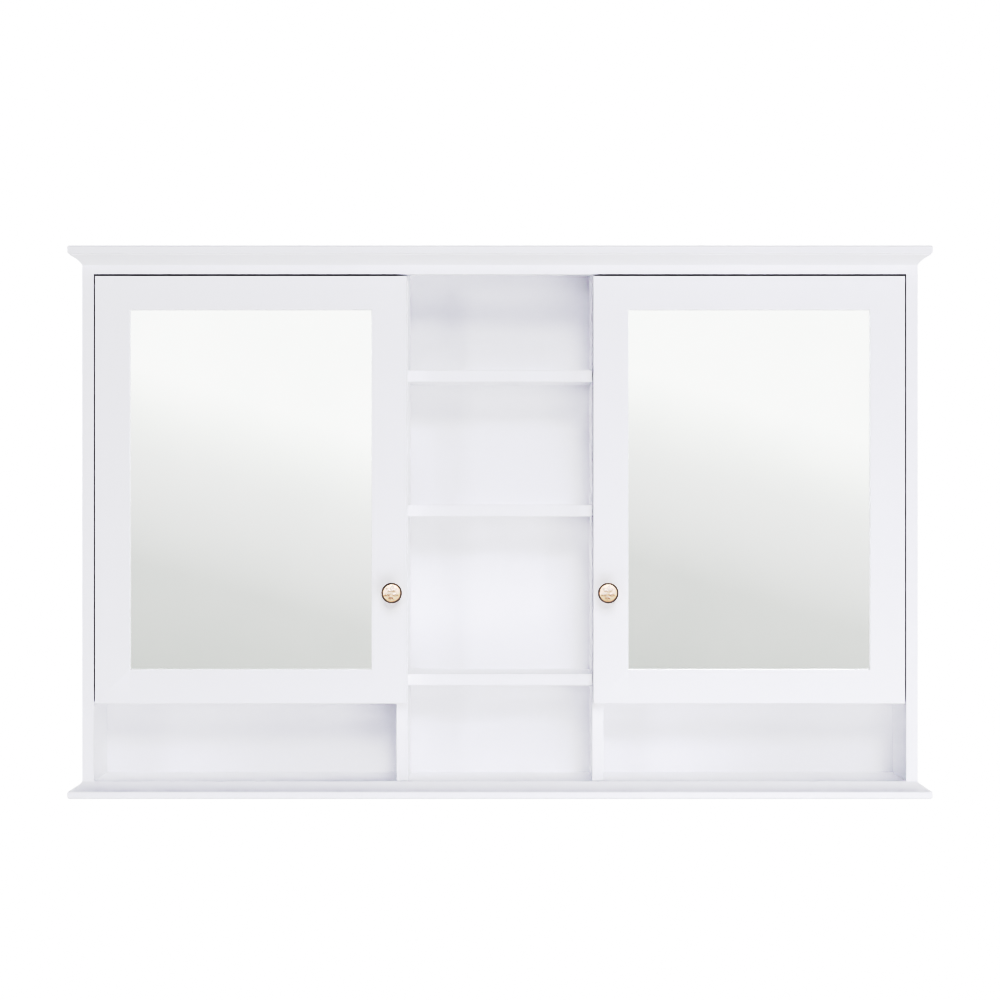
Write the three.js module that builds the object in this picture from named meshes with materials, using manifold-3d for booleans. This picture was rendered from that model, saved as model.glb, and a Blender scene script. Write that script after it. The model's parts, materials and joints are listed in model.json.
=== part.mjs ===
// Hanging wall cabinet: a white painted carcass with two mirror doors, an open centre bay with
// three shelves, and open compartments under the doors.
//
// Millimetres, +Z up. The cabinet's front faces -Y and its back lies in the plane y = 0, so the
// origin is the middle of the back panel's rear face. Heights in this file are counted from the
// cabinet's underside, and the whole assembly is lowered by half its height at the end.

import * as THREE from 'three';
import { mergeVertices } from 'three/addons/utils/BufferGeometryUtils.js';
import Module from 'manifold-3d';

const wasm = await Module();
wasm.setup();

// ---- Driving dimensions ----

const HEIGHT = 576;
const CARCASS_WIDTH = 872;
const CARCASS_DEPTH = 132;
const OVERHANG = 14; // crown and base, past the carcass at the front and both sides
const BOARD = 12; // sides, dividers and shelves
const CROWN_THICKNESS = 9;
const BASE_THICKNESS = 17.5;
const BACK_THICKNESS = 3;
const BACK_REBATE = 6;
const FASCIA_HEIGHT = 20.2;
const BAY_WIDTH = 193; // clear width of the centre bay
const DOOR_SETBACK = 16; // dividers and centre shelves stand this far behind the front plane
const CENTRE_SHELF_HEIGHTS = { bottom: 117, middle: 294, top: 435 }; // undersides
const CUPBOARD_FLOOR_HEIGHT = 102;
const CUPBOARD_FLOOR_SETBACK = 22;
const ADJUSTABLE_HEIGHT = 324;
const ADJUSTABLE_SETBACK = 27;
const ADJUSTABLE_SIDE_GAP = 1.2;
const ADJUSTABLE_BACK_GAP = 2;

const DOOR_THICKNESS = 15;
const DOOR_SIDE_GAP = 1.2;
const DOOR_TOP_GAP = 1.6;
const DOOR_BOTTOM = 98.8;
const DOOR_REVEAL = 1; // strip of the divider's edge left bare beside the door
const STILE_WIDTH = 36.5;
const RAIL_WIDTH = 35.5;
const LIP_THICKNESS = 6; // frame in front of the mirror
const REBATE_WIDTH = 5;
const MIRROR_THICKNESS = 4;
const BACKING_THICKNESS = 3;
const GLASS_CLEARANCE = 0.5;

const PIVOT_INSET = 11; // hinge axis, in from the door's outer edge
const PIVOT_DEPTH = 5; // hinge axis, behind the door's front face
const HINGE_FROM_END = 72; // hinge centre, from the door's top and bottom edges
const CUP_RADIUS = 13;
const CUP_CENTRE_INSET = 16;
const CUP_POCKET_DEPTH = 12.8;
const CUP_WALL = 0.6;
const PIN_RADIUS = 1;

const KNOB_RADIUS = 10.5;
const KNOB_FROM_EDGE = 15;
const KNOB_HEIGHT = 214.5;

const HANGER_OFFSET = 266; // hanger plates, from the cabinet's middle
const HANGER_HEIGHT = 532;
const FIT_GAP = 0.3; // between a cut piece and the one that sits in the cut
const CUT_PAST = 1; // how far a cutting body goes past the face it cuts
const CURVE_STEPS = 6;
const ROUND_STEPS = 24;

// ---- Derived places ----

const SIDE_FACE = CARCASS_WIDTH / 2;
const SIDE_INNER = SIDE_FACE - BOARD;
const DIVIDER_INNER = BAY_WIDTH / 2;
const DIVIDER_OUTER = DIVIDER_INNER + BOARD;
const CROWN_UNDERSIDE = HEIGHT - CROWN_THICKNESS;
const FASCIA_BOTTOM = CROWN_UNDERSIDE - FASCIA_HEIGHT;
const FRONT = -CARCASS_DEPTH;
const BACK_FRONT_FACE = -BACK_THICKNESS;
const DOOR_OUTER = SIDE_INNER - DOOR_SIDE_GAP;
const DOOR_INNER = DIVIDER_INNER + DOOR_REVEAL;
const DOOR_TOP = FASCIA_BOTTOM - DOOR_TOP_GAP;
const DOOR_BACK = FRONT + DOOR_THICKNESS;
const PIVOT_X = DOOR_OUTER - PIVOT_INSET;
const PIVOT_Y = FRONT + PIVOT_DEPTH;
const SIDES = { left: -1, right: 1 };

// ---- Materials ----

function paint(color, roughness, metalness = 0) {
  return new THREE.MeshStandardMaterial({ color, roughness, metalness });
}

const MATERIALS = {
  lacquer: () => paint(0xf0f0f3, 0.35),
  inside: () => paint(0xededf0, 0.45),
  mirror: () => paint(0xe4e7e8, 0.03, 1),
  backing: () => paint(0xb79b78, 0.8),
  steel: () => paint(0xb9babd, 0.3, 1),
  plate: () => paint(0xc4c4c2, 0.4, 1),
  gold: () => paint(0xefe1ce, 0.35, 1),
  plastic: () => paint(0xe9e9e6, 0.5),
};

// ---- Geometry helpers ----

const X = new THREE.Vector3(1, 0, 0);
const Y = new THREE.Vector3(0, 1, 0);
const Z = new THREE.Vector3(0, 0, 1);
// Where an extrusion's own x, y and z go when it runs along each world axis.
const BASES = { x: [Y, Z, X], y: [X, Z, Y.clone().negate()], z: [X, Y, Z] };

function point(a, b) {
  return new THREE.Vector2(a, b);
}

/** A shape pushed along an axis. Its plane is (y, z), (x, z) or (x, y) for axis x, y or z. */
function prism(shape, start, end, axis) {
  const geometry = new THREE.ExtrudeGeometry(shape, {
    depth: end - start,
    bevelEnabled: false,
    curveSegments: CURVE_STEPS,
  });
  geometry.translate(0, 0, axis === 'y' ? -end : start);
  return geometry.applyMatrix4(new THREE.Matrix4().makeBasis(...BASES[axis]));
}

function box([x0, x1], [y0, y1], [z0, z1]) {
  const size = [Math.abs(x1 - x0), Math.abs(y1 - y0), Math.abs(z1 - z0)];
  return new THREE.BoxGeometry(...size).translate((x0 + x1) / 2, (y0 + y1) / 2, (z0 + z1) / 2);
}

/** A round bar along an axis, centred at a point. */
function bar(radius, length, axis, [x, y, z], steps = ROUND_STEPS) {
  const geometry = new THREE.CylinderGeometry(radius, radius, length, steps);
  if (axis === 'x') geometry.rotateZ(Math.PI / 2);
  if (axis === 'z') geometry.rotateX(Math.PI / 2);
  return geometry.translate(x, y, z);
}

function toSolid(geometry) {
  const bare = geometry.clone();
  bare.deleteAttribute('normal');
  bare.deleteAttribute('uv');
  const merged = mergeVertices(bare, 1e-4);
  return new wasm.Manifold(
    new wasm.Mesh({
      numProp: 3,
      vertProperties: merged.attributes.position.array,
      triVerts: Uint32Array.from(merged.index.array),
    }),
  );
}

function toGeometry(solid) {
  const { vertProperties, triVerts } = solid.getMesh();
  const geometry = new THREE.BufferGeometry();
  geometry.setAttribute('position', new THREE.BufferAttribute(vertProperties, 3));
  return geometry.setIndex(new THREE.BufferAttribute(triVerts, 1));
}

function cut(body, ...tools) {
  return toGeometry(tools.reduce((rest, tool) => rest.subtract(toSolid(tool)), toSolid(body)));
}

function join(...bodies) {
  return toGeometry(bodies.map(toSolid).reduce((all, next) => all.add(next)));
}

function overlap(a, b) {
  return toGeometry(toSolid(a).intersect(toSolid(b)));
}

// ---- Assembly ----

const cabinet = new THREE.Group();
cabinet.position.z = -HEIGHT / 2;

function add(parent, name, geometry, material) {
  const mesh = new THREE.Mesh(geometry, MATERIALS[material]());
  mesh.name = name;
  parent.add(mesh);
  return mesh;
}

// ---- Mouldings ----

/** Points (outset, height) of a board edge that is rounded at the bottom and the top. */
function roundedEdge(bottom, top, lowRadius, highRadius, outset) {
  const edge = new THREE.Path();
  edge.moveTo(outset - lowRadius, bottom);
  edge.absarc(outset - lowRadius, bottom + lowRadius, lowRadius, -Math.PI / 2, 0);
  edge.absarc(outset - highRadius, top - highRadius, highRadius, 0, Math.PI / 2);
  return edge.getPoints(CURVE_STEPS / 2);
}

/** A full-size board whose front and side edges follow the points (outset, height). */
function mouldedBoard(edge) {
  const right = edge.map((p) => point(SIDE_FACE + p.x, p.y));
  const left = edge.map((p) => point(-SIDE_FACE - p.x, p.y)).reverse();
  const front = edge.map((p) => point(FRONT - p.x, p.y));
  const back = [point(0, edge.at(-1).y), point(0, edge[0].y)];
  const reach = OVERHANG + CUT_PAST;
  return overlap(
    prism(new THREE.Shape([...right, ...left]), FRONT - reach, 0, 'y'),
    prism(new THREE.Shape([...front, ...back]), -SIDE_FACE - reach, SIDE_FACE + reach, 'x'),
  );
}

const TOP_EDGE_RADIUS = 2;
const CROWN_LOWER_RADIUS = 2.6;
const crownEdge = roundedEdge(
  CROWN_UNDERSIDE,
  HEIGHT,
  CROWN_LOWER_RADIUS,
  TOP_EDGE_RADIUS,
  OVERHANG,
);
add(cabinet, 'crown_slab', mouldedBoard(crownEdge), 'lacquer');

// The base: a rounded nose, then a shallow hollow up to the carcass face.
const NOSE_TOP = 8.2;
const NOSE_LOWER_RADIUS = 2.7;
const BASE_HOLLOW = { outset: 4.5, height: 10.8 }; // the point its curve bends towards
const baseHollow = new THREE.Path();
baseHollow.moveTo(OVERHANG - TOP_EDGE_RADIUS, NOSE_TOP);
baseHollow.quadraticCurveTo(BASE_HOLLOW.outset, BASE_HOLLOW.height, 0, BASE_THICKNESS);
const baseEdge = [
  ...roundedEdge(0, NOSE_TOP, NOSE_LOWER_RADIUS, TOP_EDGE_RADIUS, OVERHANG),
  ...baseHollow.getPoints(CURVE_STEPS).slice(1),
];
add(cabinet, 'base_board', mouldedBoard(baseEdge), 'lacquer');

// The cornice strips fill the corner between the crown slab and the carcass, mitred in front.
const CORNICE_BOTTOM = 556.6;
const CORNICE_REACH = 12;
const CORNICE_LIP = 0.8;
const CORNICE_HOLLOW = { outset: 4.5, drop: 4 }; // the point its curve bends towards
const MITRE_GAP = 0.1;
const corniceHollow = new THREE.Path();
corniceHollow.moveTo(0, CORNICE_BOTTOM);
corniceHollow.quadraticCurveTo(
  CORNICE_HOLLOW.outset,
  CROWN_UNDERSIDE - CORNICE_HOLLOW.drop,
  CORNICE_REACH,
  CROWN_UNDERSIDE - CORNICE_LIP,
);
corniceHollow.lineTo(CORNICE_REACH, CROWN_UNDERSIDE);
const corniceEdge = [...corniceHollow.getPoints(CURVE_STEPS), point(0, CROWN_UNDERSIDE)];

/** Moves every corner of a geometry to where place(x, y, z) says. */
function reshape(geometry, place) {
  const corners = geometry.attributes.position;
  for (let i = 0; i < corners.count; i += 1) {
    corners.setXYZ(i, ...place(corners.getX(i), corners.getY(i), corners.getZ(i)));
  }
  return geometry;
}

const frontStrip = prism(
  new THREE.Shape(corniceEdge.map((p) => point(FRONT - p.x, p.y))),
  -1,
  1,
  'x',
);
reshape(frontStrip, (x, y, z) => [Math.sign(x) * (SIDE_FACE + FRONT - y - MITRE_GAP), y, z]);
add(cabinet, 'cornice_front', frontStrip, 'lacquer');

for (const [name, side] of Object.entries(SIDES)) {
  const outline = corniceEdge.map((p) => point(side * (SIDE_FACE + p.x), p.y));
  const strip = prism(new THREE.Shape(outline), -1, 0, 'y');
  reshape(strip, (x, y, z) => [x, y * (CARCASS_DEPTH + side * x - SIDE_FACE), z]);
  add(cabinet, `cornice_${name}`, strip, 'lacquer');
}

// ---- Carcass ----

const PIN_HOLE_PITCH = 32;
const PIN_HOLE_DEPTH = 8;
const PIN_ROW_INSETS = { front: 52, back: 28 };
const PIN_ROWS = { front: FRONT + PIN_ROW_INSETS.front, back: -PIN_ROW_INSETS.back };
const SHELF_PIN_RADIUS = 2.5;
const SHELF_PLAY = 0.05; // between the shelf and the pins it lies on
const PIN_AXIS_HEIGHT = ADJUSTABLE_HEIGHT - SHELF_PIN_RADIUS - SHELF_PLAY;
const PIN_STEPS = 12;

/** The holes for shelf pins, drilled from the face at x into the board. */
function pinHoles(x, inward) {
  const depth = PIN_HOLE_DEPTH + FIT_GAP;
  return Object.values(PIN_ROWS).flatMap((y) =>
    [-1, 0, 1].map((step) => {
      const height = PIN_AXIS_HEIGHT + step * PIN_HOLE_PITCH;
      const middle = x + (inward * (depth - CUT_PAST)) / 2;
      const radius = SHELF_PIN_RADIUS + FIT_GAP;
      return bar(radius, depth + CUT_PAST, 'x', [middle, y, height], PIN_STEPS);
    }),
  );
}

for (const [name, side] of Object.entries(SIDES)) {
  const outline = [
    [SIDE_INNER, FRONT],
    [SIDE_FACE, FRONT],
    [SIDE_FACE, 0],
    [SIDE_INNER + BACK_REBATE, 0],
    [SIDE_INNER + BACK_REBATE, BACK_FRONT_FACE],
    [SIDE_INNER, BACK_FRONT_FACE],
  ].map(([x, y]) => point(side * x, y));
  const panel = prism(new THREE.Shape(outline), BASE_THICKNESS, CROWN_UNDERSIDE, 'z');
  const holes = pinHoles(side * SIDE_INNER, side);
  add(cabinet, `side_panel_${name}`, cut(panel, ...holes), 'lacquer');

  const divider = box(
    [side * DIVIDER_INNER, side * DIVIDER_OUTER],
    [FRONT + DOOR_SETBACK, BACK_FRONT_FACE],
    [BASE_THICKNESS, CROWN_UNDERSIDE],
  );
  const dividerHoles = pinHoles(side * DIVIDER_OUTER, -side);
  add(cabinet, `divider_${name}`, cut(divider, ...dividerHoles), 'lacquer');
}

add(
  cabinet,
  'fascia_rail',
  box([-SIDE_INNER, SIDE_INNER], [FRONT, FRONT + DOOR_SETBACK], [FASCIA_BOTTOM, CROWN_UNDERSIDE]),
  'lacquer',
);

for (const [name, height] of Object.entries(CENTRE_SHELF_HEIGHTS)) {
  const shelf = box(
    [-DIVIDER_INNER, DIVIDER_INNER],
    [FRONT + DOOR_SETBACK, BACK_FRONT_FACE],
    [height, height + BOARD],
  );
  add(cabinet, `centre_shelf_${name}`, shelf, 'lacquer');
}

// ---- Back panel, hanging rails and hanger plates ----

const RAIL_THICKNESS = 12;
const RAIL_HEIGHT = 60;
const PLATE_SIZE = { x: 62, z: 26 };
const PLATE_THICKNESS = 1.5;
const PLATE_WINDOW_GAP = 2;
const PLATE_HOLE = { inset: 8, radius: 2.2 };
const KEYHOLE_RADIUS = 4.8;
const KEYHOLE_SLOT = 2.6; // half the slot's width
const KEYHOLE_RISE = 10;
const KEYHOLE_DROP = 4; // centre of the round hole, below the plate's middle
const HEAD_POCKET = { depth: 9, sideRoom: 2, endRoom: 1 };

function hangerWindow(side) {
  const half = { x: PLATE_SIZE.x / 2 + PLATE_WINDOW_GAP, z: PLATE_SIZE.z / 2 + PLATE_WINDOW_GAP };
  const middle = side * HANGER_OFFSET;
  return box(
    [middle - half.x, middle + half.x],
    [BACK_FRONT_FACE - CUT_PAST, CUT_PAST],
    [HANGER_HEIGHT - half.z, HANGER_HEIGHT + half.z],
  );
}

const backSheet = box(
  [-SIDE_INNER - BACK_REBATE, SIDE_INNER + BACK_REBATE],
  [BACK_FRONT_FACE, 0],
  [BASE_THICKNESS, CROWN_UNDERSIDE],
);
const backPanel = cut(backSheet, ...Object.values(SIDES).map(hangerWindow));
add(cabinet, 'back_panel', backPanel, 'inside');

/** A round hole with a narrower slot above it, for a screw head to drop into. */
function keyhole(x, z) {
  const shoulder = Math.acos(KEYHOLE_SLOT / KEYHOLE_RADIUS);
  const hole = new THREE.Path();
  hole.absarc(x, z, KEYHOLE_RADIUS, Math.PI - shoulder, 2 * Math.PI + shoulder);
  hole.absarc(x, z + KEYHOLE_RISE, KEYHOLE_SLOT, 0, Math.PI);
  hole.closePath();
  return hole;
}

/** A round hole in a flat shape. */
function roundHole(x, z, radius) {
  return new THREE.Path().absarc(x, z, radius, 0, 2 * Math.PI);
}

for (const [name, side] of Object.entries(SIDES)) {
  const middle = side * HANGER_OFFSET;
  const keyholeHeight = HANGER_HEIGHT - KEYHOLE_DROP;
  const rail = box(
    [side * DIVIDER_OUTER, side * SIDE_INNER],
    [BACK_FRONT_FACE - RAIL_THICKNESS, BACK_FRONT_FACE],
    [CROWN_UNDERSIDE - RAIL_HEIGHT, CROWN_UNDERSIDE],
  );
  const pocketHalf = KEYHOLE_RADIUS + HEAD_POCKET.sideRoom;
  const pocketEnd = KEYHOLE_RADIUS + HEAD_POCKET.endRoom;
  const pocket = box(
    [middle - pocketHalf, middle + pocketHalf],
    [BACK_FRONT_FACE - HEAD_POCKET.depth, CUT_PAST],
    [keyholeHeight - pocketEnd, keyholeHeight + KEYHOLE_RISE + pocketEnd],
  );
  add(cabinet, `hanging_rail_${name}`, cut(rail, pocket), 'inside');

  const half = { x: PLATE_SIZE.x / 2, z: PLATE_SIZE.z / 2 };
  const plate = new THREE.Shape([
    point(middle - half.x, HANGER_HEIGHT - half.z),
    point(middle + half.x, HANGER_HEIGHT - half.z),
    point(middle + half.x, HANGER_HEIGHT + half.z),
    point(middle - half.x, HANGER_HEIGHT + half.z),
  ]);
  plate.holes.push(keyhole(middle, keyholeHeight));
  for (const end of [-1, 1]) {
    const x = middle + end * (half.x - PLATE_HOLE.inset);
    plate.holes.push(roundHole(x, HANGER_HEIGHT, PLATE_HOLE.radius));
  }
  const hanger = prism(plate, BACK_FRONT_FACE, BACK_FRONT_FACE + PLATE_THICKNESS, 'y');
  add(cabinet, `hanger_plate_${name}`, hanger, 'plate');
}

// ---- Cupboards: fixed floor, adjustable shelf and its pins ----

for (const [name, side] of Object.entries(SIDES)) {
  const floor = box(
    [side * DIVIDER_OUTER, side * SIDE_INNER],
    [FRONT + CUPBOARD_FLOOR_SETBACK, BACK_FRONT_FACE],
    [CUPBOARD_FLOOR_HEIGHT, CUPBOARD_FLOOR_HEIGHT + BOARD],
  );
  add(cabinet, `cupboard_floor_${name}`, floor, 'lacquer');

  const shelf = box(
    [side * (DIVIDER_OUTER + ADJUSTABLE_SIDE_GAP), side * (SIDE_INNER - ADJUSTABLE_SIDE_GAP)],
    [FRONT + ADJUSTABLE_SETBACK, BACK_FRONT_FACE - ADJUSTABLE_BACK_GAP],
    [ADJUSTABLE_HEIGHT, ADJUSTABLE_HEIGHT + BOARD],
  );
  add(cabinet, `adjustable_shelf_${name}`, shelf, 'lacquer');
}

const PIN_COLLAR = { radius: 3.5, thickness: 0.8 };
const PIN_POST = 8;
const PIN_CHAMFER = 0.5;
const pinProfile = [
  point(0, -PIN_HOLE_DEPTH),
  point(SHELF_PIN_RADIUS - PIN_CHAMFER, -PIN_HOLE_DEPTH),
  point(SHELF_PIN_RADIUS, -PIN_HOLE_DEPTH + PIN_CHAMFER),
  point(SHELF_PIN_RADIUS, 0),
  point(PIN_COLLAR.radius, 0),
  point(PIN_COLLAR.radius, PIN_COLLAR.thickness),
  point(SHELF_PIN_RADIUS, PIN_COLLAR.thickness),
  point(SHELF_PIN_RADIUS, PIN_POST - PIN_CHAMFER),
  point(SHELF_PIN_RADIUS - PIN_CHAMFER, PIN_POST),
  point(0, PIN_POST),
];

for (const [name, side] of Object.entries(SIDES)) {
  const faces = { outer: [SIDE_INNER, 1], inner: [DIVIDER_OUTER, -1] };
  for (const [place, [x, outward]] of Object.entries(faces)) {
    for (const [row, y] of Object.entries(PIN_ROWS)) {
      const pin = new THREE.LatheGeometry(pinProfile, PIN_STEPS);
      const mesh = add(cabinet, `shelf_pin_${name}_${place}_${row}`, pin, 'steel');
      mesh.rotation.z = (side * outward * Math.PI) / 2;
      mesh.position.set(side * x, y, PIN_AXIS_HEIGHT);
    }
  }
}

// ---- Doors ----

const DOOR_HEIGHTS = [DOOR_BOTTOM, DOOR_TOP];
const SIGHT_HEIGHTS = [DOOR_BOTTOM + RAIL_WIDTH, DOOR_TOP - RAIL_WIDTH];
const SIGHT_X = [DOOR_INNER + STILE_WIDTH, DOOR_OUTER - STILE_WIDTH];
const HINGE_HEIGHTS = {
  upper: DOOR_TOP - HINGE_FROM_END,
  lower: DOOR_BOTTOM + HINGE_FROM_END,
};
const CUP_X = DOOR_OUTER - CUP_CENTRE_INSET;

/** A panel in the door's rebate, a little smaller than the rebate all round. */
function rebatePanel(side, frontDepth, thickness) {
  const grow = REBATE_WIDTH - GLASS_CLEARANCE;
  return box(
    [side * (SIGHT_X[0] - grow), side * (SIGHT_X[1] + grow)],
    [FRONT + frontDepth, FRONT + frontDepth + thickness],
    [SIGHT_HEIGHTS[0] - grow, SIGHT_HEIGHTS[1] + grow],
  );
}

/** The recess that the mirror and its backing lie in, open to the door's back. */
function rebateCutter(side) {
  return box(
    [side * (SIGHT_X[0] - REBATE_WIDTH), side * (SIGHT_X[1] + REBATE_WIDTH)],
    [FRONT + LIP_THICKNESS, DOOR_BACK + CUT_PAST],
    [SIGHT_HEIGHTS[0] - REBATE_WIDTH, SIGHT_HEIGHTS[1] + REBATE_WIDTH],
  );
}

function cupPocket(side, height) {
  const floorY = DOOR_BACK - CUP_POCKET_DEPTH;
  const middle = (floorY + DOOR_BACK + CUT_PAST) / 2;
  const length = DOOR_BACK + CUT_PAST - floorY;
  return bar(CUP_RADIUS + FIT_GAP, length, 'y', [side * CUP_X, middle, height]);
}

// The knob from its foot to its crown, as [radius, height]. A pair of points is a curve's bend
// and its end, and a single point is the end of a straight line.
const KNOB_OUTLINE = [
  [[7.5, 0]],
  [[7.5, 1.4]],
  [[4.8, 2.4], [4.8, 6]],
  [[4.8, 9.6], [8, 11]],
  [[KNOB_RADIUS, 12.2], [KNOB_RADIUS, 15.2]],
  [[KNOB_RADIUS, 18.8], [9.7, 19.8]],
  [[9, 20]],
  [[8.7, 19.4]],
  [[5.4, 21], [0, 21]],
];
const KNOB_CURVE_STEPS = 3;
const knobOutline = new THREE.Path();
knobOutline.moveTo(0, 0);
for (const [first, second] of KNOB_OUTLINE) {
  if (second) knobOutline.quadraticCurveTo(...first, ...second);
  else knobOutline.lineTo(...first);
}

const STRIKE = { width: 12, height: 38, thickness: 0.8 };
const CATCH = { width: 13, height: 46, length: 15 };
const CATCH_HEIGHT = 470;
const STRIKE_SHIFT = 1; // from the catch's middle towards the door's middle

for (const [name, side] of Object.entries(SIDES)) {
  const door = new THREE.Group();
  cabinet.add(door);
  const depth = [FRONT, DOOR_BACK];
  const recess = rebateCutter(side);
  const pockets = Object.values(HINGE_HEIGHTS).map((height) => cupPocket(side, height));
  const outerStile = box([side * SIGHT_X[1], side * DOOR_OUTER], depth, DOOR_HEIGHTS);
  const innerStile = box([side * DOOR_INNER, side * SIGHT_X[0]], depth, DOOR_HEIGHTS);
  add(door, `door_${name}_outer_stile`, cut(outerStile, recess, ...pockets), 'lacquer');
  add(door, `door_${name}_inner_stile`, cut(innerStile, recess), 'lacquer');
  const between = SIGHT_X.map((x) => side * x);
  const topRail = box(between, depth, [SIGHT_HEIGHTS[1], DOOR_TOP]);
  const bottomRail = box(between, depth, [DOOR_BOTTOM, SIGHT_HEIGHTS[0]]);
  add(door, `door_${name}_top_rail`, cut(topRail, recess), 'lacquer');
  add(door, `door_${name}_bottom_rail`, cut(bottomRail, recess), 'lacquer');
  add(door, `door_${name}_mirror`, rebatePanel(side, LIP_THICKNESS, MIRROR_THICKNESS), 'mirror');
  const backingDepth = LIP_THICKNESS + MIRROR_THICKNESS;
  add(door, `door_${name}_backing`, rebatePanel(side, backingDepth, BACKING_THICKNESS), 'backing');

  const knob = new THREE.LatheGeometry(knobOutline.getPoints(KNOB_CURVE_STEPS), ROUND_STEPS);
  const knobMesh = add(door, `knob_${name}`, knob, 'gold');
  knobMesh.rotation.x = Math.PI;
  knobMesh.position.set(side * (DOOR_INNER + KNOB_FROM_EDGE), FRONT, KNOB_HEIGHT);

  const strikeX = DIVIDER_OUTER + CATCH.width / 2 + STRIKE_SHIFT;
  const strike = box(
    [side * (strikeX - STRIKE.width / 2), side * (strikeX + STRIKE.width / 2)],
    [DOOR_BACK, DOOR_BACK + STRIKE.thickness],
    [CATCH_HEIGHT - STRIKE.height / 2, CATCH_HEIGHT + STRIKE.height / 2],
  );
  add(door, `catch_strike_${name}`, strike, 'plate');

  const catchFront = DOOR_BACK + STRIKE.thickness + FIT_GAP;
  const catchBody = box(
    [side * DIVIDER_OUTER, side * (DIVIDER_OUTER + CATCH.width)],
    [catchFront, catchFront + CATCH.length],
    [CATCH_HEIGHT - CATCH.height / 2, CATCH_HEIGHT + CATCH.height / 2],
  );
  add(cabinet, `catch_body_${name}`, catchBody, 'plastic');
}

// ---- Concealed hinges ----
// Each has a cup let into the door, a pin across the cup, and a goose-neck arm that reaches from
// the side panel into the cup and turns on the pin. The neck bends round the door's back corner.

const ARM_WIDTH = 12;
const ARM_THICKNESS = 2;
const ARM_REACH = 14; // from the pin towards the door's middle
const ARM_BRIDGE_DEPTH = 24; // middle of the stretch that crosses to the side panel
const ARM_FOOT_END = 68;
const ARM_FOOT_THICKNESS = 3;
const ARM_EYE_RADIUS = 1.9;
const ARM_BEND = 4;
const FLANGE = { thickness: 1.2, width: 22, height: 44, outerEdge: 3.6 };
const EYE_BORE_GAP = 0.12;
const HINGE_PIN_STEPS = 16;

/** The outline of a strip of even thickness along a line of points with rounded corners. */
function stripOutline(corners, thickness, bend) {
  const middle = [corners[0]];
  for (let i = 1; i < corners.length - 1; i += 1) {
    const before = corners[i - 1].clone().sub(corners[i]).setLength(bend).add(corners[i]);
    const after = corners[i + 1].clone().sub(corners[i]).setLength(bend).add(corners[i]);
    const turn = new THREE.QuadraticBezierCurve(before, corners[i], after);
    middle.push(...turn.getPoints(4));
  }
  middle.push(corners.at(-1));
  const edge = (offset) =>
    middle.map((p, i) => {
      const ahead = middle[Math.min(i + 1, middle.length - 1)];
      const behind = middle[Math.max(i - 1, 0)];
      const along = ahead.clone().sub(behind).normalize();
      return point(p.x - along.y * offset, p.y + along.x * offset);
    });
  return [...edge(thickness / 2), ...edge(-thickness / 2).reverse()];
}

function hingeArm(side, height) {
  const z = [height - ARM_WIDTH / 2, height + ARM_WIDTH / 2];
  const neckX = PIVOT_X - ARM_REACH;
  const bridgeY = FRONT + ARM_BRIDGE_DEPTH;
  const line = [
    point(side * PIVOT_X, PIVOT_Y),
    point(side * neckX, PIVOT_Y),
    point(side * neckX, bridgeY),
    point(side * (SIDE_INNER - ARM_FOOT_THICKNESS / 2), bridgeY),
  ];
  const neckShape = new THREE.Shape(stripOutline(line, ARM_THICKNESS, ARM_BEND));
  const neck = prism(neckShape, ...z, 'z');
  const foot = box(
    [side * (SIDE_INNER - ARM_FOOT_THICKNESS), side * SIDE_INNER],
    [bridgeY - ARM_THICKNESS / 2, FRONT + ARM_FOOT_END],
    z,
  );
  const eye = bar(ARM_EYE_RADIUS, ARM_WIDTH, 'z', [side * PIVOT_X, PIVOT_Y, height]);
  const boreRadius = PIN_RADIUS + EYE_BORE_GAP;
  const boreLength = ARM_WIDTH + 2 * CUT_PAST;
  const bore = bar(boreRadius, boreLength, 'z', [side * PIVOT_X, PIVOT_Y, height]);
  return cut(join(neck, foot, eye), bore);
}

function hingeCup(side, height) {
  const x = side * CUP_X;
  const floorY = DOOR_BACK - CUP_POCKET_DEPTH + FIT_GAP / 2;
  const flangeBack = DOOR_BACK + FLANGE.thickness;
  const shellLength = flangeBack - floorY;
  const shell = bar(CUP_RADIUS, shellLength, 'y', [x, floorY + shellLength / 2, height]);
  const flangeOuter = DOOR_OUTER - FLANGE.outerEdge;
  const flange = box(
    [side * (flangeOuter - FLANGE.width), side * flangeOuter],
    [DOOR_BACK, flangeBack],
    [height - FLANGE.height / 2, height + FLANGE.height / 2],
  );
  const hollowStart = floorY + CUP_WALL;
  const hollowLength = flangeBack + CUT_PAST - hollowStart;
  const hollow = bar(CUP_RADIUS - CUP_WALL, hollowLength, 'y', [
    x,
    hollowStart + hollowLength / 2,
    height,
  ]);
  const pinWay = bar(PIN_RADIUS + FIT_GAP, 4 * CUP_RADIUS, 'z', [side * PIVOT_X, PIVOT_Y, height]);
  return cut(join(shell, flange), hollow, pinWay);
}

function hingePin(side, height) {
  const offset = PIVOT_X - CUP_X;
  const halfLength = Math.sqrt(CUP_RADIUS ** 2 - offset ** 2) - FIT_GAP;
  const middle = [side * PIVOT_X, PIVOT_Y, height];
  return bar(PIN_RADIUS, 2 * halfLength, 'z', middle, HINGE_PIN_STEPS);
}

for (const [name, side] of Object.entries(SIDES)) {
  for (const [place, height] of Object.entries(HINGE_HEIGHTS)) {
    add(cabinet, `hinge_arm_${name}_${place}`, hingeArm(side, height), 'steel');
    add(cabinet, `hinge_cup_${name}_${place}`, hingeCup(side, height), 'steel');
    add(cabinet, `hinge_pin_${name}_${place}`, hingePin(side, height), 'steel');
  }
}

export default cabinet;
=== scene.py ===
import json
import math

import bmesh
import bpy
from mathutils import Matrix, Vector
from mathutils.bvhtree import BVHTree


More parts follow.
